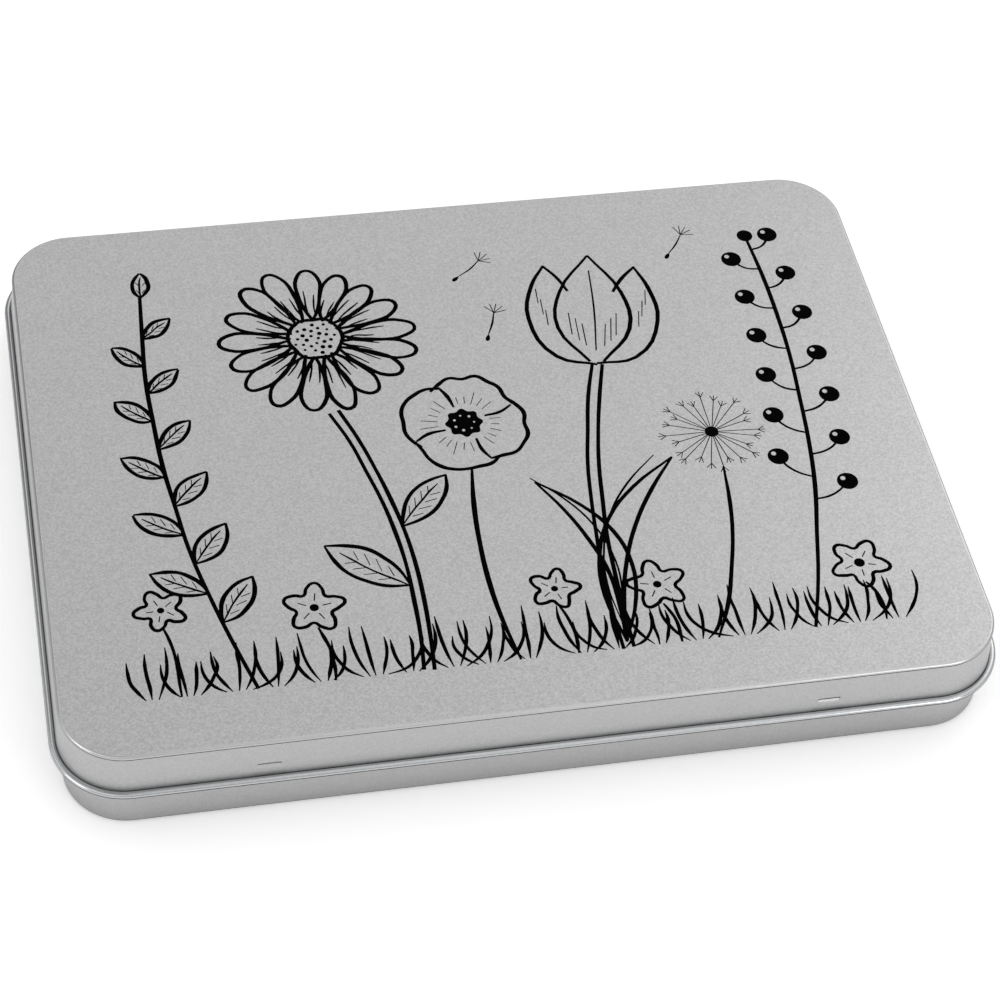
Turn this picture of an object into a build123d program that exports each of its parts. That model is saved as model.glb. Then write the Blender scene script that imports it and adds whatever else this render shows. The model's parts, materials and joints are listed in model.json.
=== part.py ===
from build123d import *
from math import cos, radians, sin
import os

# Hinged storage tin, closed, in millimetres.
# The origin is the middle of the tin's footprint, on the plane that it stands on.
# +Z is up, +X runs along the long side, -Y is the front with the catch pips, +Y the hinge side.

# Tin body
body_length = 225.0        # end wall to end wall, outer faces
body_width = 170.7         # front wall to rear wall, outer faces
closed_height = 25.4       # underside of the base to the top of the closed lid
corner_radius = 15.5       # upright corners, outer face
sheet = 0.28               # tinplate thickness

# Base: wall, rolled bead, neck and floor
base_edge_radius = 0.9     # round between floor and wall, outer face
bead_height = 13.25        # middle of the bead above the underside
bead_radius = 0.9          # outside of the rolled bead
bead_reach = 2.6           # how far the bead stands out from the wall
neck_height = 5.75         # top of the neck above the middle of the bead
neck_hem = 2.5             # depth of the folded edge round the neck
floor_band = 6.0           # flat band that the tin stands on, inwards from the edge round
floor_step_run = 0.8       # sideways run of the step up to the floor panel
floor_step_rise = 0.5      # height of the floor panel above the band

# Lid: flat top, skirt and folded lower edge
lid_edge_radius = 1.0      # round between top and skirt, outer face
lid_hem = 2.5              # depth of the folded edge round the skirt
lid_seat_gap = 0.3         # lower edge of the skirt above the ledge of the bead
lid_clearance = 0.15       # between the folded edge of the skirt and the neck

# Catch pips, pressed inwards in the lid's front skirt
pip_from_end = 45.5        # middle of a pip from the end wall, without the shift
pip_shift = 1.4            # how far right of the middle the pair of pips is pressed
pip_below_neck_top = 1.7   # middle of a pip below the top of the neck, lid closed
pip_length = 6.2
pip_radius = 0.6           # cross-section of the pressed groove
pip_clearance = 0.13       # between a pip's inner side and the neck

# Hinge: lugs of the lid's rear skirt, curled round the rear bead
lug_from_end = 45.5        # middle of a lug from the end wall
lug_width = 12.0
lug_side_gap = 0.6         # relief each side of a lug, in the skirt and in the base
lug_clearance = 0.06       # running clearance between lug and bead
lug_shoulder_radius = 1.0  # bend from the skirt out over the bead, middle of the sheet
lug_wrap = 210.0           # degrees of the bead that a lug goes round, from the top backwards
window_clearance = 0.1     # between a turning lug and the window in the base behind the bead

cut_margin = 1.0           # how far a cut runs past the sheet that it goes through

# Places and sizes that follow
wall_y = body_width / 2
bead_out = bead_reach - bead_radius
hinge_y = wall_y + bead_out
ledge_top = bead_height + sheet
lid_low_edge = ledge_top + lid_seat_gap
neck_out = -(2 * sheet + lid_clearance)
neck_top = bead_height + neck_height
pip_height = neck_top - pip_below_neck_top
pip_depth = -neck_out - sheet - pip_clearance
lug_line_radius = bead_radius + lug_clearance + sheet / 2
lug_root_height = bead_height + lug_line_radius + lug_shoulder_radius
lug_cut_width = lug_width + 2 * lug_side_gap
window_half_height = lug_line_radius + sheet / 2 + window_clearance


# A section is drawn as distance outwards from the wall's outer face, and height.
def strip(inner, outer, low, high):
    """A straight stretch of sheet in a section."""
    return Pos((inner + outer) / 2, (low + high) / 2) * Rectangle(outer - inner, high - low)


def rolled_edge(radius, height, reach_up):
    """The quarter round of sheet between an upright wall and a flat floor or top."""
    tube = Pos(-radius, height) * (Circle(radius) - Circle(radius - sheet))
    far = height + reach_up * radius
    return tube & strip(-radius, 0, min(height, far), max(height, far))


def folded_edge(out, end, fold):
    """An edge of sheet folded back flat on its inner side; its outer face is at out."""
    flat = strip(out - 2 * sheet, out, min(end, fold), max(end, fold))
    return flat + Pos(out - sheet, fold) * Circle(sheet)


def base_section():
    """Floor band and step, wall, ledge, rolled bead and neck."""
    step_out = -(base_edge_radius + floor_band)
    panel_out = step_out - floor_step_run
    band = strip(step_out, -base_edge_radius, 0, sheet)
    step = make_face(Polyline(
        (step_out, 0),
        (step_out, sheet),
        (panel_out, floor_step_rise + sheet),
        (panel_out, floor_step_rise),
        close=True,
    ))
    edge = rolled_edge(base_edge_radius, base_edge_radius, reach_up=-1)
    wall = strip(-sheet, 0, base_edge_radius, bead_height)
    ledge = strip(neck_out - sheet, bead_out, bead_height - sheet, ledge_top)
    neck = strip(neck_out - sheet, neck_out, bead_height, neck_top - sheet)
    hem = folded_edge(neck_out, neck_top - neck_hem, neck_top - sheet)
    bead = Pos(bead_out, bead_height) * Circle(bead_radius)
    hollow = Pos(bead_out, bead_height) * Circle(bead_radius - sheet)
    return band + step + edge + wall + ledge + neck + hem + bead - hollow


def lid_section():
    """Edge round, skirt and folded lower edge."""
    edge = rolled_edge(lid_edge_radius, closed_height - lid_edge_radius, reach_up=1)
    skirt = strip(-sheet, 0, lid_low_edge + sheet, closed_height - lid_edge_radius)
    hem = folded_edge(0, lid_low_edge + lid_hem, lid_low_edge + sheet)
    return edge + skirt + hem


def carried_round(section):
    """A section carried round the tin: each corner in turn, and the straight side after it."""
    half_x = body_length / 2 - corner_radius
    half_y = wall_y - corner_radius
    corners = (
        (half_x, -half_y, -90, 2 * half_y),
        (half_x, half_y, 0, 2 * half_x),
        (-half_x, half_y, 90, 2 * half_y),
        (-half_x, -half_y, 180, 2 * half_x),
    )
    shape = Part()
    for x, y, facing, side in corners:
        upright = Rot(90, 0, 0) * Pos(corner_radius, 0) * section
        onward = radians(facing + 180)
        start = Pos(x, y, 0) * Rot(0, 0, facing) * upright
        end = Pos(x, y, 0) * Rot(0, 0, facing + 90) * upright
        shape += revolve(start, Axis((x, y, 0), (0, 0, 1)), revolution_arc=90)
        shape += extrude(end, amount=side, dir=(cos(onward), sin(onward), 0))
    return shape


def plate(inset, low):
    """The flat middle of a floor or top, inside the wall's outer face by inset."""
    outline = RectangleRounded(body_length - 2 * inset, body_width - 2 * inset, corner_radius - inset)
    return Pos(0, 0, low) * extrude(outline, sheet)


def block(width, y_low, y_high, z_low, z_high):
    """A box centred on x = 0."""
    middle = Pos(0, (y_low + y_high) / 2, (z_low + z_high) / 2)
    return middle * Box(width, y_high - y_low, z_high - z_low)


def bar_along_x(length, radius, y, z):
    """A round bar along X, centred on x = 0."""
    return Pos(0, y, z) * Rot(0, 90, 0) * Cylinder(radius, length)


def at_both_ends(shape, from_end, shift=0):
    """A shape repeated left and right, that far from the end walls, the pair shifted to the right."""
    middle = body_length / 2 - from_end
    return [Pos(side * middle + shift, 0, 0) * shape for side in (-1, 1)]


def hinge_window():
    """The opening behind the rear bead, which leaves the bead standing as a hinge pin."""
    inside = wall_y + neck_out - 2 * sheet - cut_margin
    low = bead_height - window_half_height
    high = bead_height + window_half_height
    opening = block(lug_cut_width, inside, hinge_y, low, high)
    return opening - bar_along_x(lug_cut_width, bead_radius, hinge_y, bead_height)


def base_pan():
    """The lower half: one drawn pan with a rolled bead and a neck for the lid."""
    pan = carried_round(base_section())
    pan += plate(base_edge_radius + floor_band + floor_step_run, floor_step_rise)
    for window in at_both_ends(hinge_window(), lug_from_end):
        pan -= window
    return pan


def lug():
    """One hinge lug: from the skirt out over the bead, then curled round it."""
    skirt_line = wall_y - sheet / 2
    shoulder_y = skirt_line + lug_shoulder_radius
    over_bead = bead_height + lug_line_radius
    shoulder = CenterArc((shoulder_y, lug_root_height), lug_shoulder_radius, 180, 90)
    run = Line((shoulder_y, over_bead), (hinge_y, over_bead))
    curl = CenterArc((hinge_y, bead_height), lug_line_radius, 90, -lug_wrap)
    line = Plane.YZ * (shoulder + run + curl)
    blank = Plane(origin=(0, skirt_line, lug_root_height), z_dir=(0, 0, -1)) * Rectangle(lug_width, sheet)
    return sweep(blank, path=line)


def pip(radius):
    """A pressed groove with round ends in the middle of the front skirt, as a bar of that radius."""
    y = -wall_y - pip_radius + pip_depth
    straight = pip_length - 2 * pip_radius
    bar = bar_along_x(straight, radius, y, pip_height)
    for end in (-straight / 2, straight / 2):
        bar += Pos(end, y, pip_height) * Sphere(radius)
    return bar


def lid_pan():
    """The upper half: one drawn pan with hinge lugs and catch pips."""
    pan = carried_round(lid_section())
    pan += plate(lid_edge_radius, closed_height - sheet)
    below = lid_low_edge - cut_margin
    inside = wall_y - 2 * sheet - cut_margin
    fold_cut = block(lug_cut_width, inside, wall_y - sheet, below, lid_low_edge + lid_hem)
    skirt_cut = block(lug_cut_width, inside, wall_y + cut_margin, below, lug_root_height)
    for cut in at_both_ends(fold_cut + skirt_cut, lug_from_end):
        pan -= cut
    for piece in at_both_ends(lug(), lug_from_end):
        pan += piece
    bulge_size = pip_length + 2 * cut_margin
    inner_side = block(bulge_size, sheet - wall_y, bulge_size - wall_y, pip_height - bulge_size,
                       pip_height + bulge_size)
    for bulge in at_both_ends(pip(pip_radius + sheet) & inner_side, pip_from_end, pip_shift):
        pan += bulge
    for groove in at_both_ends(pip(pip_radius), pip_from_end, pip_shift):
        pan -= groove
    return pan


os.makedirs("parts", exist_ok=True)
export_step(base_pan(), "parts/base_pan.step")
export_step(lid_pan(), "parts/lid_pan.step")
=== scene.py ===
import json
import random
from math import asin, atan2, cos, degrees, hypot, pi, radians, sin, sqrt, tan

import bmesh
import bpy
from mathutils import Matrix, Vector, noise


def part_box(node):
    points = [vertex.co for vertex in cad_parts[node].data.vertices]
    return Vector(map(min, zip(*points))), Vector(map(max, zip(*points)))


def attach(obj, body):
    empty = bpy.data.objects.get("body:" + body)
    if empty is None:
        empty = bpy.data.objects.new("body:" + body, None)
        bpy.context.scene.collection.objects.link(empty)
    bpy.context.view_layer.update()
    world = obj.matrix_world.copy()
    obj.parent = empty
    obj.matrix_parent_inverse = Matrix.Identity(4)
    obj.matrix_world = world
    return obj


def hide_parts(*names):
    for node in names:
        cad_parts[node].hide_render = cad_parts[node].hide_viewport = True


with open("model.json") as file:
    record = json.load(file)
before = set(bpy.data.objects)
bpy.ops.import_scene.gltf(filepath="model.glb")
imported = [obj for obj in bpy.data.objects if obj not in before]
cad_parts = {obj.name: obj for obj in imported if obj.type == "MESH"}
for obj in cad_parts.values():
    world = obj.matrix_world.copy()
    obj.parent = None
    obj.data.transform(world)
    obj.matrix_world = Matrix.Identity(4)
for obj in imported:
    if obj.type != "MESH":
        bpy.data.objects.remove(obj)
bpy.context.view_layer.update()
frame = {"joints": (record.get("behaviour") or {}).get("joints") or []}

# A hinged storage tin: two pressed tinplate pans, with a line drawing printed on the lid.
# Sizes are in millimetres, in the frame's own axes, unless a comment gives another unit. Meshes
# are turned to metres when their shape is done.
MM = 0.001

# Sizes that the frame gives
base_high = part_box("base_pan")[1] / MM
lid_low, lid_high = (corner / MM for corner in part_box("lid_pan"))
hinge = Vector(frame["joints"][0]["pos_m"]) / MM
half_length = lid_high.x
half_width = -lid_low.y
closed_height = lid_high.z
neck_top = base_high.z
bead_height = hinge.z
bead_out = hinge.y - half_width     # middle of the bead, out from the wall's outer face
bead_radius = base_high.x - half_length - bead_out

# Sheet and edges
sheet = 0.28
sheet_share = 0.96          # of that thickness, so that the shells stay inside the CAD model's box
corner_radius = 15.5
base_edge_radius = 0.9
lid_edge_radius = 0.75
floor_band = 6.0
floor_step_run = 0.8
floor_step_rise = 0.5
wall_depth = 1.0            # sheet no further in than this from the wall's outer face is wall
wall_bend = 0.35            # bend from the base's wall out into the ledge, middle of the sheet
bead_under_bend = 0.3       # bend from under the ledge out into the bead
bead_inner_bend = 0.3       # bend from the ledge up into the bead's inner side
bead_waver = 0.05           # how far the bead rises and falls
bead_waver_length = 9.0     # and over about which length
neck_bend = 0.3             # bend from the ledge up into the neck
neck_hem = 2.5
lid_hem = 2.5
lid_seat_gap = 0.08
lid_clearance = 0.15
edge_overhang = 24.0        # degrees that the lid's edge round goes on past upright
edge_return = 0.6           # bend from the overhang back to the skirt, middle of the sheet
skirt_lean = 5.6            # degrees that the lid's skirt leans outwards to its foot

# Hinge lugs and catch pips
lug_from_end = 45.5
lug_width = 12.0
lug_side_gap = 0.6
lug_clearance = 0.06
lug_shoulder_radius = 1.0
lug_wrap = 210.0            # degrees of the bead that a lug goes round
window_clearance = 0.1
pip_from_end = 45.5
pip_shift = 1.4             # how far right of the middle the pair of pips is pressed
pip_below_neck_top = 1.7
pip_length = 6.2
pip_depth = 0.3
pip_half_height = 0.72      # from the deepest line of a pip to where the skirt is flat again

# Places that follow
half_sheet = sheet / 2
to_corner_x = half_length - corner_radius
to_corner_y = half_width - corner_radius
ledge_top = bead_height + sheet
lid_low_edge = ledge_top + lid_seat_gap
neck_out = -(2 * sheet + lid_clearance)
bead_line = bead_radius - half_sheet    # the bead's radius to the middle of its sheet
edge_line = lid_edge_radius - half_sheet + edge_return  # from the edge round's middle to the return's
return_out = edge_line * cos(radians(edge_overhang)) - lid_edge_radius
return_height = closed_height - lid_edge_radius - edge_line * sin(radians(edge_overhang))
skirt_top_out = return_out - edge_return * cos(radians(skirt_lean))
skirt_top = return_height - edge_return * sin(radians(skirt_lean))
lug_line = bead_radius + lug_clearance + half_sheet     # a lug's radius to the middle of its sheet
lug_root_height = bead_height + lug_line + lug_shoulder_radius
lug_cut_half = lug_width / 2 + lug_side_gap
lug_middle = half_length - lug_from_end
window_half_height = lug_line + half_sheet + window_clearance
pip_middle = half_length - pip_from_end
pip_height = neck_top - pip_below_neck_top

# Finishes by place, with painted shade on narrow lines and a painted highlight on the lid's edge
STONE, BURNISHED, DRAWN, PAINTED_SHADE, POLISHED_HIGHLIGHT = range(5)
upright_rise = 0.7          # a face whose normal rises or falls less than this is upright
crevice = 0.8               # the ledge is left as drawn out to here
under_bead = -0.03          # the bead has painted shade from here down, off its middle
foot = 0.8                  # the base's edge round has painted shade up to here
shade_line_drop = 0.08       # from the edge round's widest place down to the painted shade line under it
shade_line_height = 0.42
edge_belly = closed_height - lid_edge_radius - shade_line_drop
edge_foot = edge_belly - shade_line_height
pip_shade_top = 0.6          # a pip has painted shade from its deepest line up to here
pip_shade_end = 0.3          # and so far into its round ends

# How finely the sheets are divided
side_step = 3.2             # along the straight sides
corner_steps = 22
bead_steps = 30
edge_steps = 8
fold_steps = 6
pip_grid = 0.16             # squares of the skirt round a pip
pen_steps = 4               # between two knots of the drawing's lines

# Tolerances
cut_snap = 1e-5             # a vertex this near a cut lies on it
same_place = 1e-4           # vertices this close are one, and heights this close are the same
mirror_snap = 0.001         # a vertex this near the mirror is merged with its image
at_edge = 0.001             # slack for the vertices of a lug's root
at_face = 0.01              # slack for the faces of the skirt and its hem

# Grain of the tinplate
# The real grain is finer than the render can show, so it is drawn this coarse.
grain_size = 0.36           # across one facet of the grain
mottle_size = 14.0          # across the soft clouds in it
mottle_share = 0.15         # how strongly the clouds lighten it
polish_spread = 0.08        # how far the facets' roughness goes up and down

# Line drawing
pen = 1.1                   # width of its main lines
fine_pen = 0.55             # and of its fine ones
hair_pen = fine_pen * 0.8   # and of the finest
pen_waver = 0.11            # how far the pen strays, as a share of its width
pen_press = (0.86, 1.14)    # the line's least and greatest width, as shares of the pen's
dot_sizes = (0.75, 1.2)     # the same for a dot
drawing_seed = 7
ink_film = 0.005            # thickness of the ink
ink_cloud = 3.0             # across an uneven patch of the ink
film_flank = 0.02           # a point of the raw mesh this near its middle level stays there

# Plants of the drawing, with places off the lid's middle
ground = -70.0              # where the stems start
grass_reach = 90.0          # how far left and right the grass goes
grass_height = 16
tufts = 19
daisy_foot = (-26, ground)
daisy_neck = (-36, 14)
daisy_middle = (-37, 40)
daisy_radius = 26
daisy_petals = 17
daisy_stem_width = 2.4
daisy_leaves = ((0.3, 1, 1.0), (0.52, -1, 0.85))    # place up the stem, side and size
daisy_leaf_length = 24      # of a leaf of size 1
daisy_leaf_width = 9
seeds_in_heart = 26
golden_angle = 137.5        # degrees from one seed of the heart to the next
tulip_foot = (22, ground)
tulip_neck = (34, 22)
tulip_turn = -8
tulip_height = 40
tulip_half = 17             # half the cup's width
tulip_stem_width = 2.6
tulip_leaves = (((10, -16), -5), ((46, -12), 5))    # tip, and how far it bows
poppy_foot = (-4, ground)
poppy_neck = (-5, -9)
poppy_middle = (-4, 6)
poppy_radius = 16
poppy_turn = 20
branch_foot = (-66, ground)
branch_tip = (-80, 60)
branch_leaves = 11
branch_leaf = 17.0          # length of a leaf at the branch's foot
sprig_foot = (68, ground)
sprig_tip = (84, 64)
sprig_twigs = 13
berry_twig = 11.0
berry_radius = 2.7
seed_head_foot = (44, ground)
seed_head_neck = (58, -17)
seed_head_middle = (58, -5)
seed_head_radius = 12
seed_head_rays = 24
flying_seeds = (((4, 58), -50), ((62, 60), -35), ((8, 36), -20))    # place and turn
blossoms = (                # place, radius and turn
    ((-50, -48), 6, 10),
    ((-86, -44), 5, 40),
    ((8, -50), 5, 0),
    ((33, -52), 6, 25),
    ((84, -52), 6, 55),
)

# Floor and world
floor_size = 6.0            # metres
floor_lift = 0.22           # light added to the floor for the eye
mirrored_lift = 0.12        # and for the metal
near_shade = 6.0            # how far from the tin, in mm, the metal mirrors a painted shade
near_painted_shade = 0.42            # how far the mirrored floor goes from white card to dark grey close by, a painted shade
far_painted_grey = 0.8              # and far off, a painted grey
far_grey_span = (120.0, 400.0)     # where the floor turns grey in the metal, in mm off the tin's sides
horizon_band = (7.0, 20.0)  # degrees off level where the grey band starts to fade, and ends
horizon_grey = 0.42         # how bright the band is

# Lamps and mirrored cards: place, target and size in metres, and brightness
softboxes = {
    "softbox_over_right": ((0.84, 0.68, 0.81), (0, 0, 0), 0.6, 1.05),
    "softbox_low_right": ((0.6, -1.0, 0.26), (0, 0, 0.02), 0.45, 3.4),
    "softbox_low_left": ((-1.0, -0.36, 0.3), (0, 0, 0.02), 0.5, 1.7),
}
grey_cards = {
    "card_over_left": ((-0.4, 0.2, 1.1), (0, 0, 0), 0.8, 0.55),
    "card_behind_left": ((-0.6, 0.72, 0.5), (0, 0, 0), 0.6, 0.3),
    "card_low_front": ((-0.08, -0.9, 0.2), (0, 0, 0.02), 0.36, 0.55),
    "card_high_front": ((-0.08, -0.85, 0.7), (0, 0, 0.02), 0.45, 0.75),
    "card_over_front": ((-0.25, -0.3, 1.1), (0, 0, 0), 0.5, 0.4),
}

# Camera
view_azimuth = -15.088      # degrees, 0 looks along +Y
view_elevation = 48.976
view_roll = 5.736
view_distance = 709.54      # to the plane through the origin, square to the view
aim_right = 5.694           # how far the view's middle passes right of and above the origin
aim_up = 1.156
lens = 98.77
sensor_width = 36.0


class SheetLine:
    """The middle of the sheet in a section, drawn stretch by stretch from one end.

    A place in the section is the distance outwards from the wall's outer face, and the height.
    """

    def __init__(self, out, height):
        self.mesh = bmesh.new()
        self.tip = self.mesh.verts.new(self.place(out, height))

    @staticmethod
    def place(out, height):
        """A place in the section as a point at the middle of the tin's right side."""
        return Vector((half_length + out, 0, height))

    def straight(self, out, height):
        """Carries the sheet straight on to a place."""
        grown = bmesh.ops.extrude_vert_indiv(self.mesh, verts=[self.tip])
        self.tip = grown["verts"][0]
        self.tip.co = self.place(out, height)

    def bend(self, out, height, turn, steps):
        """Bends the sheet round a place, clockwise where turn is positive and outwards is right."""
        grown = bmesh.ops.spin(
            self.mesh, geom=[self.tip], cent=self.place(out, height), axis=(0, 1, 0),
            angle=radians(turn), steps=steps,
        )
        self.tip = only(grown["geom_last"], bmesh.types.BMVert)[0]


def only(items, kind):
    """The items that are of one kind: vertices, edges or faces."""
    return [item for item in items if isinstance(item, kind)]


def everything(bm):
    """All vertices, edges and faces of a mesh."""
    return bm.verts[:] + bm.edges[:] + bm.faces[:]


def bead_root(bend):
    """A bend of that radius that touches both the ledge and the bead.

    Returns how far out its middle is, how far that is above or below the bead's, and its turn.
    """
    rise = half_sheet + bend
    apart = bead_line + bend
    return bead_out - sqrt(apart ** 2 - rise ** 2), rise, 90 - degrees(asin(rise / apart))


def base_line():
    """Floor step and band, wall, ledge, rolled bead and neck of the base, as one sheet."""
    step_out = -(base_edge_radius + floor_band)
    line = SheetLine(step_out - floor_step_run, floor_step_rise + half_sheet)
    line.straight(step_out, half_sheet)
    line.straight(-base_edge_radius, half_sheet)
    line.bend(-base_edge_radius, base_edge_radius, -90, edge_steps)

    under_ledge = bead_height - half_sheet
    line.straight(-half_sheet, under_ledge - wall_bend)
    line.bend(wall_bend - half_sheet, under_ledge - wall_bend, 90, fold_steps)

    under_out, under_rise, under_turn = bead_root(bead_under_bend)
    inner_out, inner_rise, inner_turn = bead_root(bead_inner_bend)
    line.straight(under_out, under_ledge)
    line.bend(under_out, bead_height - under_rise, under_turn, fold_steps)
    line.bend(bead_out, bead_height, -(180 + under_turn + inner_turn), bead_steps)
    line.bend(inner_out, bead_height + inner_rise, inner_turn, fold_steps)

    over_ledge = bead_height + half_sheet
    neck_line = neck_out - half_sheet
    line.straight(neck_line + neck_bend, over_ledge)
    line.bend(neck_line + neck_bend, over_ledge + neck_bend, 90, fold_steps)
    line.straight(neck_line, neck_top - sheet)
    line.bend(neck_out - sheet, neck_top - sheet, -180, fold_steps)
    line.straight(neck_line - sheet, neck_top - neck_hem)
    return line


def skirt_at(height):
    """How far out the middle of the skirt's sheet is at a height."""
    return skirt_top_out + (skirt_top - height) * tan(radians(skirt_lean))


def lid_line():
    """Edge round, skirt and folded lower edge of the lid, as one sheet."""
    line = SheetLine(-lid_edge_radius, closed_height - half_sheet)
    line.bend(-lid_edge_radius, closed_height - lid_edge_radius, 90 + edge_overhang, edge_steps)
    line.bend(return_out, return_height, -(edge_overhang + skirt_lean), fold_steps)
    inwards = Vector((-cos(radians(skirt_lean)), -sin(radians(skirt_lean))))
    upwards = Vector((-sin(radians(skirt_lean)), cos(radians(skirt_lean))))
    fold = Vector((skirt_at(lid_low_edge + sheet), lid_low_edge + sheet))
    line.straight(*fold)
    line.bend(*(fold + inwards * half_sheet), 180, fold_steps)
    line.straight(*(fold + inwards * sheet + upwards * (lid_hem - sheet)))
    return line


def carried_round(line):
    """A section carried along a quarter of the tin's outline, and mirrored to the other three."""
    bm = line.mesh
    right_steps = round(to_corner_y / side_step)
    front_steps = round(to_corner_x / side_step)
    right = bmesh.ops.spin(
        bm, geom=bm.verts[:] + bm.edges[:], angle=0, steps=right_steps,
        dvec=(0, -to_corner_y / right_steps, 0),
    )
    corner = bmesh.ops.spin(
        bm, geom=right["geom_last"], cent=(to_corner_x, -to_corner_y, 0), axis=(0, 0, -1),
        angle=radians(90), steps=corner_steps,
    )
    # After its quarter turn round the corner, the section stands at the front wall
    bmesh.ops.spin(
        bm, geom=corner["geom_last"], angle=0, steps=front_steps,
        dvec=(-to_corner_x / front_steps, 0, 0),
    )
    for axis in ("X", "Y"):
        bmesh.ops.mirror(
            bm, geom=everything(bm), matrix=Matrix.Identity(4), merge_dist=mirror_snap, axis=axis,
        )
    return bm


def close_flat(bm, height):
    """Closes the open loop at that height with one flat face: the tin's top or floor."""
    rim = [e for e in bm.edges
           if e.is_boundary and all(abs(v.co.z - height) < same_place for v in e.verts)]
    bmesh.ops.contextual_create(bm, geom=rim)


def slice_faces(bm, faces, places, way):
    """Cuts some faces with planes square to a way, at each of the places along it."""
    normal = Vector(way)
    for place in places:
        around = [part for face in faces for part in (*face.edges, *face.verts)]
        geom = list(dict.fromkeys(faces + around))
        cut = bmesh.ops.bisect_plane(
            bm, geom=geom, dist=cut_snap, plane_co=normal * place, plane_no=normal,
        )
        faces = only(cut["geom"], bmesh.types.BMFace)
    return faces


def faces_where(bm, test):
    """The faces whose middle passes a test."""
    return [face for face in bm.faces if test(face.calc_center_median())]


def rear_side(bm):
    """The faces of the straight rear wall, with what stands out from it."""
    return faces_where(bm, lambda c: c.y > half_width - wall_depth and abs(c.x) < to_corner_x)


def near_lug(point, reach):
    """Whether a point is within that reach of a lug's middle, to the left or right."""
    return abs(abs(point.x) - lug_middle) < reach


def spread(low, high, step):
    """Evenly spaced places from low to high, about a step apart."""
    count = max(1, round((high - low) / step))
    return [low + (high - low) * i / count for i in range(count + 1)]


def cut_hinge_windows(bm):
    """Opens the wall, ledge and neck behind the rear bead, and leaves the bead as a pin."""
    sides = [side * lug_middle + edge * lug_cut_half for side in (-1, 1) for edge in (-1, 1)]
    rear = slice_faces(bm, rear_side(bm), sides, (1, 0, 0))
    rear = [f for f in rear if near_lug(f.calc_center_median(), lug_cut_half)]
    levels = (bead_height - window_half_height, bead_height + window_half_height)
    rear = slice_faces(bm, rear, levels, (0, 0, 1))

    def in_window(c):
        from_pin = hypot(c.y - hinge.y, c.z - hinge.z)
        return (near_lug(c, lug_cut_half) and abs(c.z - bead_height) < window_half_height
                and c.y < hinge.y and from_pin > bead_line)

    gone = [f for f in rear if in_window(f.calc_center_median())]
    bmesh.ops.delete(bm, geom=gone, context="FACES")


def cut_lug_slots(bm):
    """Takes the hem and the skirt away at each lug, down from the lug's root."""
    edges = (-lug_cut_half, -lug_width / 2, lug_width / 2, lug_cut_half)
    sides = [side * lug_middle + edge for side in (-1, 1) for edge in edges]
    rear = slice_faces(bm, rear_side(bm), sides, (1, 0, 0))
    rear = [f for f in rear if near_lug(f.calc_center_median(), lug_cut_half)]
    rear = slice_faces(bm, rear, (lug_root_height,), (0, 0, 1))

    def in_slot(c):
        behind_skirt = c.y < half_width + skirt_at(c.z) - half_sheet
        hem = behind_skirt and c.z < lid_low_edge + lid_hem + at_face
        return near_lug(c, lug_cut_half) and (hem or c.z < lug_root_height)

    gone = [f for f in rear if in_slot(f.calc_center_median())]
    bmesh.ops.delete(bm, geom=gone, context="FACES")


def curl_lugs(bm):
    """Carries the skirt's sheet out over the rear bead and curls it round."""
    def at_root(place):
        return (abs(place.z - lug_root_height) < same_place
                and near_lug(place, lug_width / 2 + at_edge)
                and place.y > half_width + skirt_at(place.z) - at_edge)

    root = [e for e in bm.edges if e.is_boundary and all(at_root(v.co) for v in e.verts)]
    root += list(dict.fromkeys(v for e in root for v in e.verts))
    shoulder_y = half_width + skirt_at(lug_root_height) + lug_shoulder_radius
    shoulder = bmesh.ops.spin(
        bm, geom=root, cent=(0, shoulder_y, lug_root_height), axis=(1, 0, 0),
        angle=radians(90), steps=edge_steps,
    )
    run = bmesh.ops.spin(
        bm, geom=shoulder["geom_last"], angle=0, steps=1, dvec=(0, hinge.y - shoulder_y, 0),
    )
    bmesh.ops.spin(
        bm, geom=run["geom_last"], cent=hinge, axis=(1, 0, 0), angle=-radians(lug_wrap),
        steps=bead_steps,
    )


def from_pip(point):
    """How far a point of the front skirt is past a pip's straight stretch, and above its deepest line."""
    half_straight = pip_length / 2 - pip_half_height
    past = max(0, abs(abs(point.x - pip_shift) - pip_middle) - half_straight)
    return past, point.z - pip_height


def press_pips(bm):
    """Presses the two catch pips into the front skirt, as soft grooves with round ends."""
    reach = pip_length / 2 + pip_half_height
    for side in (-1, 1):
        middle = side * pip_middle + pip_shift

        def around(c):
            # A face that a pip reaches into may have its middle up to a side_step further off
            return (c.y < -half_width - skirt_at(c.z) + at_face
                    and abs(c.x - middle) < reach + side_step
                    and lid_low_edge + sheet < c.z < closed_height - lid_edge_radius)

        across = spread(middle - reach, middle + reach, pip_grid)
        patch = slice_faces(bm, faces_where(bm, around), across, (1, 0, 0))
        patch = [f for f in patch if abs(f.calc_center_median().x - middle) < reach]
        levels = spread(pip_height - 2 * pip_half_height, pip_height + 2 * pip_half_height, pip_grid)
        patch = slice_faces(bm, patch, levels, (0, 0, 1))
        for vert in dict.fromkeys(v for f in patch for v in f.verts):
            off = hypot(*from_pip(vert.co)) / pip_half_height
            if off < 1:
                vert.co.y += pip_depth * (0.5 + 0.5 * cos(pi * off))


def stands_out(point):
    """How far a point of the tin stands outwards from the wall's outer face."""
    dx = abs(point.x) - to_corner_x
    dy = abs(point.y) - to_corner_y
    if dx > 0 and dy > 0:
        return hypot(dx, dy) - corner_radius
    return max(dx, dy) - corner_radius


def upright(face):
    """Whether a face is one of the walls that the die drew, not of the floor or top."""
    return stands_out(face.calc_center_median()) > -wall_depth and abs(face.normal.z) < upright_rise


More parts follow.
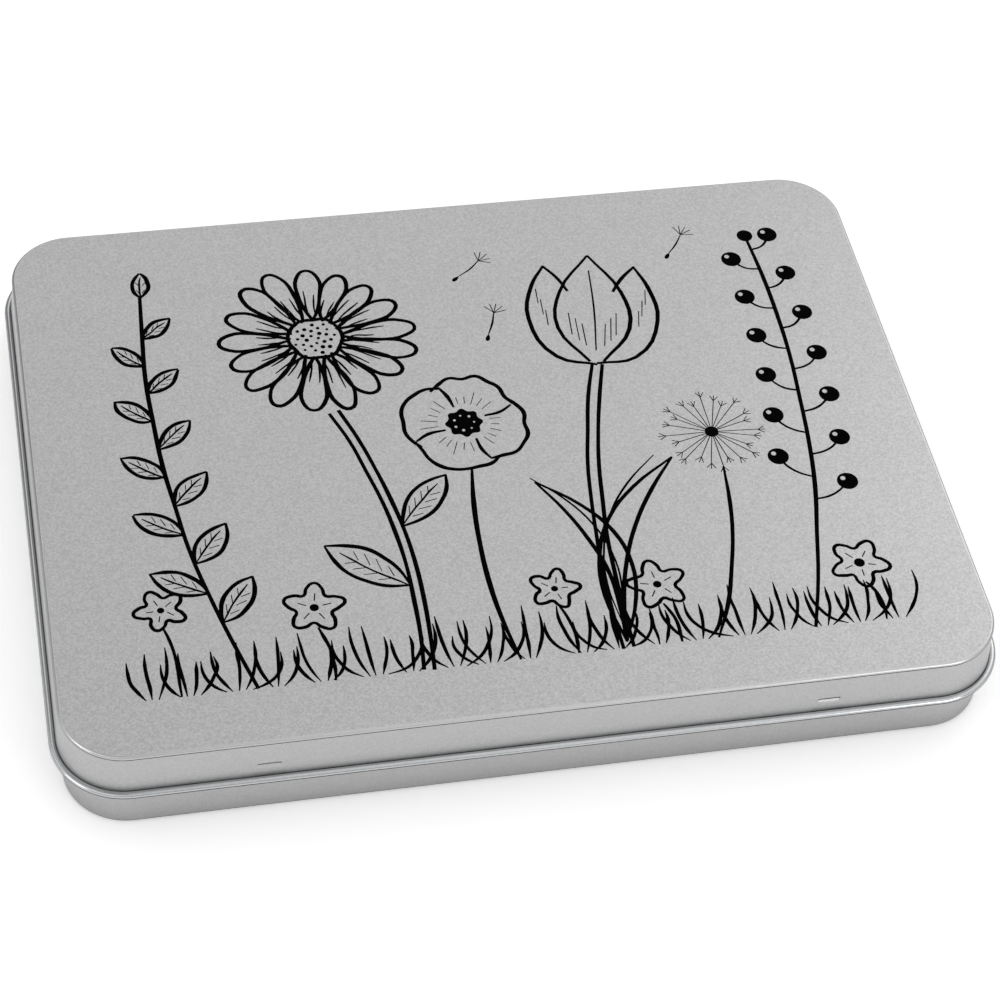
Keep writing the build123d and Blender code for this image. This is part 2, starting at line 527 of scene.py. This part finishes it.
def base_finish(face):
    """The finish of a face of the base.

    The bead is burnished, and its underside and the edge round at the foot get painted shade.
    """
    middle = face.calc_center_median()
    out = stands_out(middle)
    if out > crevice:
        # painted shade under the bead
        return PAINTED_SHADE if middle.z < bead_height + under_bead else BURNISHED
    # painted shade on the edge round at the base's foot
    if middle.z < foot and out > -base_edge_radius:
        return PAINTED_SHADE
    return DRAWN if out > 0 or upright(face) else STONE


def lid_finish(face):
    """The finish of a face of the lid.

    The lugs are rubbed bright on the bead, the edge round is polished by the die and painted
    lighter as a highlight, and the line under it and the pips get painted shade.
    """
    middle = face.calc_center_median()
    if stands_out(middle) > skirt_at(middle.z) + sheet:
        return BURNISHED
    # the edge round: polished, and painted lighter as a highlight
    if middle.z > edge_belly and stands_out(middle) > -lid_edge_radius:
        return POLISHED_HIGHLIGHT
    # painted shade on the line under the lid's edge round
    if edge_foot < middle.z < edge_belly and stands_out(middle) > skirt_top_out - sheet:
        return PAINTED_SHADE
    # painted shade in the pips, from their deepest line up
    past, above = from_pip(middle)
    if middle.y < pip_depth - half_width and past < pip_shade_end and 0 < above < pip_shade_top:
        return PAINTED_SHADE
    return DRAWN if upright(face) else STONE


def give_finishes(bm, finish_of):
    """Gives each face its finish, as its place among the materials."""
    bm.normal_update()
    for face in bm.faces:
        face.material_index = finish_of(face)


def waver_bead(bm):
    """Leaves the bead a little uneven, as the rolling wheels do."""
    for vert in bm.verts:
        out = stands_out(vert.co)
        if out > bead_out - bead_radius:
            unevenness = noise.noise(Vector((vert.co.x, vert.co.y, 0)) / bead_waver_length)
            vert.co.z += bead_waver * unevenness


def in_scene(name, bm):
    """An object of the scene, at the origin, with the bmesh as its mesh."""
    mesh = bpy.data.meshes.new(name)
    bm.to_mesh(mesh)
    bm.free()
    made = bpy.data.objects.new(name, mesh)
    bpy.context.scene.collection.objects.link(made)
    return made


def finished(name, bm, body, materials, replaced):
    """Makes a piece of a sheet's middle surface, with its thickness, materials and body."""
    bmesh.ops.remove_doubles(bm, verts=bm.verts, dist=same_place)
    bmesh.ops.recalc_face_normals(bm, faces=bm.faces)
    bmesh.ops.scale(bm, vec=(MM, MM, MM), verts=bm.verts)
    for face in bm.faces:
        face.smooth = True
    piece = in_scene(name, bm)
    for material in materials:
        piece.data.materials.append(material)
    wall = piece.modifiers.new("sheet", "SOLIDIFY")
    wall.thickness = sheet * MM * sheet_share
    wall.offset = 0
    wall.use_even_offset = True
    piece.modifiers.new("flat faces stay flat", "WEIGHTED_NORMAL")
    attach(piece, body)
    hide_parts(replaced)


def base_shell(materials):
    """The lower pan."""
    bm = carried_round(base_line())
    close_flat(bm, floor_step_rise + half_sheet)
    cut_hinge_windows(bm)
    give_finishes(bm, base_finish)
    waver_bead(bm)
    finished("base_shell", bm, "base", materials, "base_pan")


def lid_shell(materials):
    """The upper pan, with its hinge lugs and catch pips."""
    bm = carried_round(lid_line())
    close_flat(bm, closed_height - half_sheet)
    cut_lug_slots(bm)
    curl_lugs(bm)
    press_pips(bm)
    give_finishes(bm, lid_finish)
    finished("lid_shell", bm, "lid", materials, "lid_pan")


def linear(colour):
    """An sRGB hex colour as linear red, green, blue and alpha."""
    channels = (int(colour[i:i + 2], 16) / 255 for i in (1, 3, 5))
    return (*(c / 12.92 if c <= 0.04045 else ((c + 0.055) / 1.055) ** 2.4 for c in channels), 1.0)


def add(tree, kind, sockets=None, **settings):
    """Adds a node with its settings. Its sockets, by name or number, get their values or links."""
    node = tree.nodes.new(kind)
    for name, value in settings.items():
        setattr(node, name, value)
    for key, value in (sockets or {}).items():
        if isinstance(value, bpy.types.NodeSocket):
            tree.links.new(value, node.inputs[key])
        else:
            node.inputs[key].default_value = value
    return node


def new_material(name, metallic, roughness):
    """A material with its shader's plain values set, its tree and its shader."""
    material = bpy.data.materials.new(name)
    material.use_nodes = True
    shader = material.node_tree.nodes["Principled BSDF"]
    shader.inputs["Metallic"].default_value = metallic
    shader.inputs["Roughness"].default_value = roughness
    return material, material.node_tree, shader


def tinplate(name, dark, light, roughness, grain_height, grazing="#ffffff"):
    """Cold-rolled steel sheet with a thin coat of tin, which is a near neutral grey.

    Rolls with a stone-ground face leave a fine even grain on it. Each facet of the grain has its
    own shade from dark to light, its own roughness and its own height, up to grain_height. The
    grazing colour tints what the metal mirrors where it turns away from the eye: white keeps
    its outline bright, and a grey darkens it as a painted shade.
    """
    material, tree, shader = new_material(name, metallic=1.0, roughness=roughness)
    shader.inputs["Specular Tint"].default_value = linear(grazing)
    place = add(tree, "ShaderNodeTexCoord").outputs["Object"]
    grain = add(tree, "ShaderNodeTexVoronoi", {"Vector": place, "Scale": 1 / (grain_size * MM)})
    facet = add(tree, "ShaderNodeSeparateColor", {"Color": grain.outputs["Color"]})
    mottle = add(tree, "ShaderNodeTexNoise", {
        "Vector": place, "Scale": 1 / (mottle_size * MM), "Detail": 2.0, "Roughness": 0.5,
    })
    cloud = add(tree, "ShaderNodeMath", {
        0: mottle.outputs["Fac"], 1: mottle_share,
    }, operation="MULTIPLY")
    mixed = add(tree, "ShaderNodeMath", {
        0: facet.outputs["Red"], 1: cloud.outputs["Value"],
    }, operation="ADD")
    colour = add(tree, "ShaderNodeMix", {
        "Factor": mixed.outputs["Value"], 6: linear(dark), 7: linear(light),
    }, data_type="RGBA")
    tree.links.new(colour.outputs[2], shader.inputs["Base Color"])
    polish = add(tree, "ShaderNodeMapRange", {
        "Value": facet.outputs["Green"],
        "To Min": roughness * (1 - polish_spread), "To Max": roughness * (1 + polish_spread),
    })
    tree.links.new(polish.outputs["Result"], shader.inputs["Roughness"])
    bump = add(tree, "ShaderNodeBump", {
        "Height": facet.outputs["Red"], "Distance": grain_height * MM, "Strength": 1.0,
    })
    tree.links.new(bump.outputs["Normal"], shader.inputs["Normal"])
    return material


def tin_finishes():
    """The tinplate's finishes and painted shade, in the order that their numbers have."""
    # As the sheet leaves the stone-ground rolls: satin, with light and dark specks
    stone_finish = tinplate(
        "stone_finish_tinplate", "#a8a8a8", "#bebebe", roughness=0.36, grain_height=0.002,
    )
    # Stretched over the die: the grain is smeared out, so the walls are plainer and softer
    drawn = tinplate("drawn_tinplate", "#b5b5b5", "#bfbfbf", roughness=0.45, grain_height=0.001)
    # Burnished by the rolling wheels, or rubbed by the hinge: narrow bright lines, and painted shade on
    # the outlines from the grey grazing colour
    burnished = tinplate(
        "burnished_tinplate", "#bdbfc0", "#c4c6c8", roughness=0.18, grain_height=0.0001,
        grazing="#909090",
    )
    # Painted shade: dark, hardly shining tinplate on narrow lines where shade falls
    painted_shade = tinplate(
        "painted_shade_tinplate", "#585858", "#646464", roughness=0.4, grain_height=0.001,
        grazing="#606060",
    )
    # Pressed smooth on the die's polished radius, and painted lighter as a highlight: one soft line of
    # light along the lid's edge
    polished_highlight = tinplate(
        "die_polished_highlight_tinplate", "#c1c1c1", "#c7c7c7", roughness=0.3, grain_height=0.0001,
        grazing="#808080",
    )
    return [stone_finish, burnished, drawn, painted_shade, polished_highlight]


def printing_ink():
    """Black ultraviolet-cured ink: a dense matt film, a little uneven in its black."""
    material, tree, shader = new_material("uv_cured_black_ink", metallic=0.0, roughness=0.5)
    shader.inputs["Specular IOR Level"].default_value = 0.01
    place = add(tree, "ShaderNodeTexCoord").outputs["Object"]
    cloud = add(tree, "ShaderNodeTexNoise", {
        "Vector": place, "Scale": 1 / (ink_cloud * MM), "Detail": 2.0,
    })
    colour = add(tree, "ShaderNodeMix", {
        "Factor": cloud.outputs["Fac"], 6: linear("#000000"), 7: linear("#030303"),
    }, data_type="RGBA")
    tree.links.new(colour.outputs[2], shader.inputs["Base Color"])
    return material


class Drawing:
    """Pen lines and solid spots on the flat of the lid, in millimetres from its middle.

    The pen wavers a little, in its course and its width, as a hand's does. The lines' bevel is
    1 mm, so that the radius of a knot is half the line's width there.
    """

    def __init__(self, seed):
        self.hand = random.Random(seed)
        self.lines = bpy.data.curves.new("pen_lines", "CURVE")
        self.lines.dimensions = "3D"
        self.lines.twist_mode = "Z_UP"
        self.lines.bevel_depth = 1.0
        self.lines.bevel_resolution = 0
        self.lines.use_fill_caps = True
        self.spots = bpy.data.curves.new("solid_spots", "CURVE")
        self.spots.dimensions = "2D"
        self.spots.fill_mode = "BOTH"
        self.spots.extrude = 1.0
        for curve in (self.lines, self.spots):
            curve.resolution_u = pen_steps

    def through(self, curve, points, closed, radii):
        """A smooth spline through the points."""
        spline = curve.splines.new("BEZIER")
        spline.bezier_points.add(len(points) - 1)
        spline.use_cyclic_u = closed
        for knot, point, radius in zip(spline.bezier_points, points, radii):
            knot.co = (*point, 0)
            knot.handle_left_type = knot.handle_right_type = "AUTO"
            knot.radius = radius

    def strayed(self, point, waver):
        """Where the hand puts a point, about so far off."""
        return Vector(point) + Vector((self.hand.gauss(0, waver), self.hand.gauss(0, waver)))

    def line(self, points, width, closed=False, ends=0.55):
        """A pen line; its ends are that share of its width."""
        course = [self.strayed(point, pen_waver * width) for point in points]
        radii = [width / 2 * self.hand.uniform(*pen_press) for _ in points]
        if not closed:
            radii[0] *= ends
            radii[-1] *= ends
        self.through(self.lines, course, closed, radii)

    def spot(self, points):
        """A solid black spot; one inside another is left bare."""
        self.through(self.spots, points, True, [1.0] * len(points))

    def dot(self, at, size):
        """A small spot that the pen makes at one touch, about that size across."""
        outline = ring(size / 2 * self.hand.uniform(*dot_sizes), 6)
        self.spot(placed(outline, at, self.hand.uniform(0, 60)))

    def film(self, name, level, thickness):
        """The whole drawing as one thin film of ink, with its middle at that height."""
        bm = bmesh.new()
        for curve in (self.lines, self.spots):
            holder = bpy.data.objects.new(curve.name, curve)
            bpy.context.scene.collection.objects.link(holder)
            bm.from_mesh(holder.to_mesh())
            holder.to_mesh_clear()
            bpy.data.objects.remove(holder)
        for vert in bm.verts:
            side = (vert.co.z > film_flank) - (vert.co.z < -film_flank)
            vert.co.z = level + side * thickness / 2
        bmesh.ops.scale(bm, vec=(MM, MM, MM), verts=bm.verts)
        bmesh.ops.recalc_face_normals(bm, faces=bm.faces)
        return in_scene(name, bm)


def placed(points, at, turn=0.0):
    """Points of a motif, turned by so many degrees and moved to its place."""
    rotation = Matrix.Rotation(radians(turn), 2)
    return [Vector(at) + rotation @ Vector(p) for p in points]


def ring(radius, count, ruffles=0, depth=0.0):
    """Points round a circle, which may go in and out so many times."""
    turns = [2 * pi * i / count for i in range(count)]
    reach = [radius * (1 + depth * cos(ruffles * a)) for a in turns]
    return [Vector((r * cos(a), r * sin(a))) for r, a in zip(reach, turns)]


def bowed(start, end, bow, steps=5):
    """A course from start to end that bows out to its left, by bow at its middle."""
    start, end = Vector(start), Vector(end)
    along = end - start
    left = Vector((-along.y, along.x)).normalized()
    shares = [i / steps for i in range(steps + 1)]
    return [start + along * share + left * bow * 4 * share * (1 - share) for share in shares]


def drop(length, width, count=9):
    """A petal's outline: its point at the origin and its round end up."""
    turns = [pi * (2 * i / (count - 1) - 1) for i in range(count)]
    rise = [(1 + cos(a)) / 2 for a in turns]
    return [Vector((width / 2 * sin(a) * sqrt(up), length * up)) for a, up in zip(turns, rise)]


def facing(course, place):
    """Where a course is at that share of its length, and its direction there, in degrees from up."""
    step = min(int(place * (len(course) - 1)), len(course) - 2)
    share = place * (len(course) - 1) - step
    along = course[step + 1] - course[step]
    return course[step] + along * share, degrees(atan2(-along.x, along.y))


def thick_stem(drawing, course, width):
    """A stem drawn with two lines."""
    for side in (-1, 1):
        edge = []
        for i in range(len(course)):
            at, turn = facing(course, i / (len(course) - 1))
            edge += placed([(side * width / 2, 0)], at, turn)
        drawing.line(edge, pen, ends=0.9)


def leaf(drawing, at, turn, length, width, veins=4):
    """A pointed leaf with its midrib and side veins."""
    for side in (-1, 1):
        drawing.line(placed(bowed((0, 0), (0, length), side * width / 2), at, turn), pen)
    midrib = bowed((0, 0), (0, length * 0.82), width * 0.06)
    drawing.line(placed(midrib, at, turn), fine_pen)
    for i in range(veins):
        low = length * (0.2 + 0.55 * i / veins)
        reach = width * 0.32 * sin(pi * (low / length + 0.12))
        for side in (-1, 1):
            vein = [(side * 0.4, low), (side * reach, low + reach * 1.1)]
            drawing.line(placed(vein, at, turn), hair_pen)


def daisy(drawing, at, radius, petals):
    """An open flower from the front: long petals round a dotted heart."""
    heart = radius * 0.27
    for i in range(petals):
        angle = 360 * i / petals + drawing.hand.uniform(-3, 3)
        reach = radius * drawing.hand.uniform(0.93, 1.04) - heart
        wide = 2 * pi * radius / petals * 0.86
        petal = [p + Vector((0, heart * 0.92)) for p in drop(reach, wide)]
        drawing.line(placed(petal, at, angle), pen, ends=0.8)
        for side in (-1, 1):
            tip = heart + reach * drawing.hand.uniform(0.4, 0.62)
            vein = bowed((side * 0.8, heart + 1.4), (side * 1.3, tip), 0.2, 3)
            drawing.line(placed(vein, at, angle), fine_pen)
    drawing.line(placed(ring(heart, 12, 6, 0.03), at), pen, closed=True)
    for i in range(seeds_in_heart):
        out = heart * 0.8 * sqrt((i + 0.5) / seeds_in_heart)
        drawing.dot(placed([(out, 0)], at, golden_angle * i)[0], 1.05)


def tulip(drawing, at, turn, height, half):
    """A cup of three pointed petals, the middle one in front.

    Each edge is given for the right side, as shares of half the cup's width and of its height.
    """
    cup = ((0, 0), (0.6, 0.06), (1.0, 0.4), (0.92, 0.7), (0.72, 0.9))
    fold = ((0.72, 0.9), (0.5, 0.78), (0.36, 0.66))
    front = ((0.1, 0.02), (0.56, 0.32), (0.48, 0.66), (0, 1.0))
    for edge in (cup, fold, front):
        for side in (-1, 1):
            points = [(side * x * half, y * height) for x, y in edge]
            drawing.line(placed(points, at, turn), pen, ends=0.7)
    midrib = [(0, 0.12 * height), (0.03 * half, 0.5 * height), (0, 0.86 * height)]
    drawing.line(placed(midrib, at, turn), fine_pen, ends=0.7)
    for side in (-1, 1):
        for i in range(3):
            low = Vector((side * half * (0.14 + 0.1 * i), height * (0.16 + 0.05 * i)))
            stroke = [low, low + Vector((side * 0.6, height * 0.2))]
            drawing.line(placed(stroke, at, turn), fine_pen)
            low = Vector((side * half * (0.7 + 0.07 * i), height * (0.34 + 0.1 * i)))
            stroke = [low, low + Vector((side * 0.4, height * 0.14))]
            drawing.line(placed(stroke, at, turn), fine_pen)


def poppy(drawing, at, radius, turn):
    """An open flower of four ruffled petals round a solid black middle."""
    for i in range(4):
        start = turn + 90 * i
        rim = []
        for j in range(9):
            swell = radius * (0.86 + 0.14 * sin(pi * j / 8) + drawing.hand.uniform(-0.035, 0.035))
            rim += placed([(0, swell)], at, start + 100 * j / 8)
        drawing.line(rim, pen, ends=0.7)
        fold = [(0, radius * 0.86), (radius * 0.05, radius * 0.62), (0, radius * 0.36)]
        drawing.line(placed(fold, at, start), pen)
        for j in range(5):
            stroke = [(0, radius * 0.42), (0, radius * drawing.hand.uniform(0.55, 0.72))]
            drawing.line(placed(stroke, at, start + 18 + 14 * j), fine_pen, ends=0.4)
    drawing.spot(placed(ring(radius * 0.28, 16, 8, 0.09), at))
    for i in range(7):
        drawing.dot(placed([(radius * 0.16, 0)], at, 360 / 7 * i)[0], 0.7)


def seed_head(drawing, at, radius, rays):
    """A round head of ripe seeds: fine rays, each with a tuft."""
    for i in range(rays):
        angle = 360 * i / rays + drawing.hand.uniform(-4, 4)
        reach = radius * (1.0, 0.78, 0.9)[i % 3]
        drawing.line(placed([(0, 1.8), (0, reach)], at, angle), hair_pen)
        for lean in (-34, 0, 34):
            tuft = placed([(0, 0), (0, radius * 0.16)], (0, reach), lean)
            drawing.line(placed(tuft, at, angle), hair_pen)
    drawing.dot(at, 4.2)


def flying_seed(drawing, at, turn):
    """A seed on its parachute."""
    drawing.line(placed([(0, 0), (0.3, 4), (0, 8)], at, turn), fine_pen)
    drawing.spot(placed(drop(-2.6, 1.5), at, turn))
    for lean in (-60, -30, 0, 30, 60):
        hair = placed([(0, 0), (0, 3.4)], (0, 8), lean)
        drawing.line(placed(hair, at, turn), hair_pen)


def blossom(drawing, at, radius, turn):
    """A small flower of five round petals."""
    drawing.line(placed(ring(radius, 20, 5, 0.26), at, turn), pen * 0.85, closed=True)
    drawing.dot(at, radius * 0.42)
    for i in range(5):
        stroke = [(0, radius * 0.34), (0, radius * 0.7)]
        drawing.line(placed(stroke, at, turn - 90 + 72 * i), fine_pen)


def leafy_branch(drawing, course, leaves):
    """A branch with leaves on alternate sides, smaller to its tip."""
    drawing.line(course, pen, ends=0.8)
    for i in range(leaves):
        place = 0.16 + 0.8 * i / leaves
        at, turn = facing(course, place)
        side = (-1, 1)[i % 2]
        size = 1.0 - 0.45 * place
        leaf(drawing, at, turn + side * 48, branch_leaf * size, branch_leaf * 0.42 * size, veins=3)
    at, turn = facing(course, 1.0)
    leaf(drawing, at, turn, branch_leaf * 0.55, branch_leaf * 0.24, veins=2)


def berry_sprig(drawing, course, twigs):
    """A stem with berries on short twigs; each berry is solid with a bare glint."""
    drawing.line(course, pen, ends=0.8)
    for i in range(twigs):
        place = 0.3 + 0.66 * i / (twigs - 1)
        at, turn = facing(course, place)
        side = (-1, 1)[i % 2]
        reach = berry_twig * (1.1 - 0.4 * place)
        twig = placed(bowed((0, 0), (0, reach), side * 1.4, 3), at, turn + side * 52)
        drawing.line(twig, fine_pen * 1.2, ends=0.9)
        berry = twig[-1]
        glint = berry + Vector((-0.35, 0.4)) * berry_radius
        drawing.spot(placed(ring(berry_radius, 10), berry))
        drawing.spot(placed(ring(berry_radius * 0.24, 6), glint))
    tip, turn = facing(course, 1.0)
    drawing.spot(placed(ring(berry_radius * 0.8, 10), tip))


def grass(drawing, at, blades, height):
    """A tuft of grass."""
    for i in range(blades):
        lean = (i - (blades - 1) / 2) * 16 + drawing.hand.uniform(-6, 6)
        long = height * drawing.hand.uniform(0.6, 1.0)
        start = Vector(at) + Vector((i - (blades - 1) / 2, 0)) * 1.5
        blade = placed(bowed((0, 0), (0, long), -lean * 0.06 * long / 10, 4), start, -lean)
        drawing.line(blade, pen * 0.8, ends=0.3)


def meadow():
    """A plain meadow of wild flowers, grown from the lid's front edge."""
    drawing = Drawing(drawing_seed)
    daisy_stem = bowed(daisy_foot, daisy_neck, bow=-5, steps=8)
    thick_stem(drawing, daisy_stem, daisy_stem_width)
    daisy(drawing, daisy_middle, daisy_radius, daisy_petals)
    for place, side, size in daisy_leaves:
        at, turn = facing(daisy_stem, place)
        at += Vector((-side * daisy_stem_width / 2, 0))
        leaf(drawing, at, turn + side * 50, daisy_leaf_length * size, daisy_leaf_width * size)

    tulip_stem = bowed(tulip_foot, tulip_neck, bow=4, steps=8)
    thick_stem(drawing, tulip_stem, tulip_stem_width)
    tulip(drawing, tulip_neck, tulip_turn, tulip_height, tulip_half)
    for tip, bow in tulip_leaves:
        root = Vector(tulip_foot) + Vector((0, 2))
        drawing.line(bowed(root, tip, bow), pen)
        drawing.line(bowed(root, tip, bow * 2.4), pen)
        drawing.line(bowed(root + Vector((0, 6)), Vector(tip) * 0.9, bow * 1.6), fine_pen)

    drawing.line(bowed(poppy_foot, poppy_neck, bow=3), pen * 1.2)
    poppy(drawing, poppy_middle, poppy_radius, poppy_turn)
    leafy_branch(drawing, bowed(branch_foot, branch_tip, bow=7, steps=9), branch_leaves)
    berry_sprig(drawing, bowed(sprig_foot, sprig_tip, bow=-7, steps=9), sprig_twigs)
    drawing.line(bowed(seed_head_foot, seed_head_neck, bow=-3), pen)
    seed_head(drawing, seed_head_middle, seed_head_radius, seed_head_rays)

    for at, turn in flying_seeds:
        flying_seed(drawing, at, turn)
    for at, radius, turn in blossoms:
        stem = bowed((at[0], at[1] - radius), (at[0] + 2, ground), bow=1)
        drawing.line(stem, pen * 0.85)
        blossom(drawing, at, radius, turn)
    for i in range(tufts):
        place = -grass_reach + 2 * grass_reach * i / (tufts - 1)
        at = (place + drawing.hand.uniform(-2, 2), ground)
        grass(drawing, at, 3 + i % 3, grass_height)
    return drawing


def lid_print(material):
    """The drawing, printed on the lid as one film of ink."""
    film = meadow().film("lid_print", closed_height - ink_film / 2, ink_film)
    film.data.materials.append(material)
    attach(film, "lid")


def panel(name, size):
    """A square sheet of that size, in metres, lying at the origin."""
    bm = bmesh.new()
    bmesh.ops.create_grid(bm, x_segments=1, y_segments=1, size=size / 2)
    made = in_scene(name, bm)
    return made


def white_table():
    """The floor, a matt white card. It is lifted to white for the eye, and keeps its shadow.

    The metal mirrors it with painted shade close by the tin, and with a painted grey far off.
    """
    floor = panel("floor", floor_size)
    material, tree, shader = new_material("white_card", metallic=0.0, roughness=0.9)
    shader.inputs["Specular IOR Level"].default_value = 0.0
    shader.inputs["Emission Color"].default_value = (1, 1, 1, 1)

    # How far off the tin's outline a point of the floor lies
    place = add(tree, "ShaderNodeTexCoord")
    folded = add(tree, "ShaderNodeVectorMath", {0: place.outputs["Object"]}, operation="ABSOLUTE")
    past = add(tree, "ShaderNodeVectorMath", {
        0: folded.outputs["Vector"], 1: (to_corner_x * MM, to_corner_y * MM, 0),
    }, operation="SUBTRACT")
    outwards = add(tree, "ShaderNodeVectorMath", {
        0: past.outputs["Vector"], 1: (0, 0, 0),
    }, operation="MAXIMUM")
    reach = add(tree, "ShaderNodeVectorMath", {0: outwards.outputs["Vector"]}, operation="LENGTH")
    off = add(tree, "ShaderNodeMath", {
        0: reach.outputs["Value"], 1: corner_radius * MM,
    }, operation="SUBTRACT")

    # What the metal mirrors: painted shade close by the tin, and a painted grey far off
    path = add(tree, "ShaderNodeLightPath").outputs
    near = add(tree, "ShaderNodeMapRange", {
        "Value": off.outputs["Value"], "From Max": near_shade * MM, "To Min": near_painted_shade, "To Max": 0.0,
    })
    far = add(tree, "ShaderNodeMapRange", {
        "Value": off.outputs["Value"],
        "From Min": far_grey_span[0] * MM, "From Max": far_grey_span[1] * MM, "To Max": far_painted_grey,
    })
    darker = add(tree, "ShaderNodeMath", {
        0: near.outputs["Result"], 1: far.outputs["Result"],
    }, operation="MAXIMUM")
    shade = add(tree, "ShaderNodeMath", {
        0: darker.outputs["Value"], 1: path["Is Glossy Ray"],
    }, operation="MULTIPLY")
    colour = add(tree, "ShaderNodeMix", {
        "Factor": shade.outputs["Value"], 6: linear("#f2f2f2"), 7: linear("#707070"),
    }, data_type="RGBA")
    tree.links.new(colour.outputs[2], shader.inputs["Base Color"])

    # The light that is added for the eye and for the metal
    seen = add(tree, "ShaderNodeMath", {
        0: path["Is Camera Ray"], 1: path["Is Transmission Ray"],
    }, operation="MAXIMUM")
    for_eye = add(tree, "ShaderNodeMath", {
        0: seen.outputs["Value"], 1: floor_lift,
    }, operation="MULTIPLY")
    lift = add(tree, "ShaderNodeMath", {
        0: path["Is Glossy Ray"], 1: mirrored_lift, 2: for_eye.outputs["Value"],
    }, operation="MULTIPLY_ADD")
    tree.links.new(lift.outputs["Value"], shader.inputs["Emission Strength"])
    floor.data.materials.append(material)


def white_world():
    """White all round, at which a colour renders as it is written.

    The metal mirrors a greyer band at the horizon, as where a room goes on past the lamps.
    """
    world = bpy.data.worlds.new("studio")
    world.use_nodes = True
    tree = world.node_tree
    background = tree.nodes["Background"]
    background.inputs["Color"].default_value = (1, 1, 1, 1)
    direction = add(tree, "ShaderNodeTexCoord")
    rise = add(tree, "ShaderNodeSeparateXYZ", {0: direction.outputs["Generated"]})
    off_level = add(tree, "ShaderNodeMath", {0: rise.outputs["Z"]}, operation="ABSOLUTE")
    fade_from, fade_to = (sin(radians(angle)) for angle in horizon_band)
    band = add(tree, "ShaderNodeMapRange", {
        "Value": off_level.outputs["Value"], "From Min": fade_from, "From Max": fade_to,
        "To Min": 1.0 - horizon_grey, "To Max": 0.0,
    })
    path = add(tree, "ShaderNodeLightPath")
    shade = add(tree, "ShaderNodeMath", {
        0: band.outputs["Result"], 1: path.outputs["Is Glossy Ray"],
    }, operation="MULTIPLY")
    strength = add(tree, "ShaderNodeMath", {
        0: 1.0, 1: shade.outputs["Value"],
    }, operation="SUBTRACT")
    tree.links.new(strength.outputs["Value"], background.inputs["Strength"])
    bpy.context.scene.world = world


def turned_to(made, place, target, front):
    """Puts a lamp or card at its place, with its front turned to a point."""
    made.location = place
    made.rotation_euler = (Vector(target) - Vector(place)).to_track_quat(front, "Y").to_euler()


def softbox(name, place, target, size, brightness):
    """A square area lamp; its face shows in the metal at that brightness."""
    lamp = bpy.data.lights.new(name, "AREA")
    lamp.shape = "SQUARE"
    lamp.size = size
    lamp.energy = brightness * pi * size ** 2
    made = bpy.data.objects.new(name, lamp)
    turned_to(made, place, target, "-Z")
    bpy.context.scene.collection.objects.link(made)


def grey_card(name, place, target, size, brightness):
    """A grey card that only the metal mirrors; it gives the rounded edges their dark lines."""
    card = panel(name, size)
    turned_to(card, place, target, "Z")
    card.visible_camera = False
    card.visible_diffuse = False
    card.visible_shadow = False
    material = bpy.data.materials.new(name)
    material.use_nodes = True
    tree = material.node_tree
    tree.nodes.clear()
    glow = add(tree, "ShaderNodeEmission", {"Strength": brightness})
    add(tree, "ShaderNodeOutputMaterial", {"Surface": glow.outputs["Emission"]})
    card.data.materials.append(material)


def photograph_camera():
    """A camera at the photograph's angle, from the front left and above, a little tilted."""
    azimuth, elevation, roll = (radians(angle) for angle in (view_azimuth, view_elevation, view_roll))
    back = Vector((sin(azimuth) * cos(elevation), -cos(azimuth) * cos(elevation), sin(elevation)))
    level_right = Vector((0, 0, 1)).cross(back).normalized()
    right = cos(roll) * level_right + sin(roll) * back.cross(level_right)
    up = back.cross(right)
    camera = bpy.data.objects.new("camera", bpy.data.cameras.new("camera"))
    camera.data.lens = lens
    camera.data.sensor_width = sensor_width
    camera.matrix_world = Matrix((right, up, back)).transposed().to_4x4()
    camera.location = (back * view_distance + right * aim_right + up * aim_up) * MM
    bpy.context.scene.collection.objects.link(camera)
    bpy.context.scene.camera = camera


finishes = tin_finishes()
base_shell(finishes)
lid_shell(finishes)
lid_print(printing_ink())
white_table()
white_world()
for name, setting in softboxes.items():
    softbox(name, *setting)
for name, setting in grey_cards.items():
    grey_card(name, *setting)
photograph_camera()
bpy.context.scene.view_settings.view_transform = "Standard"
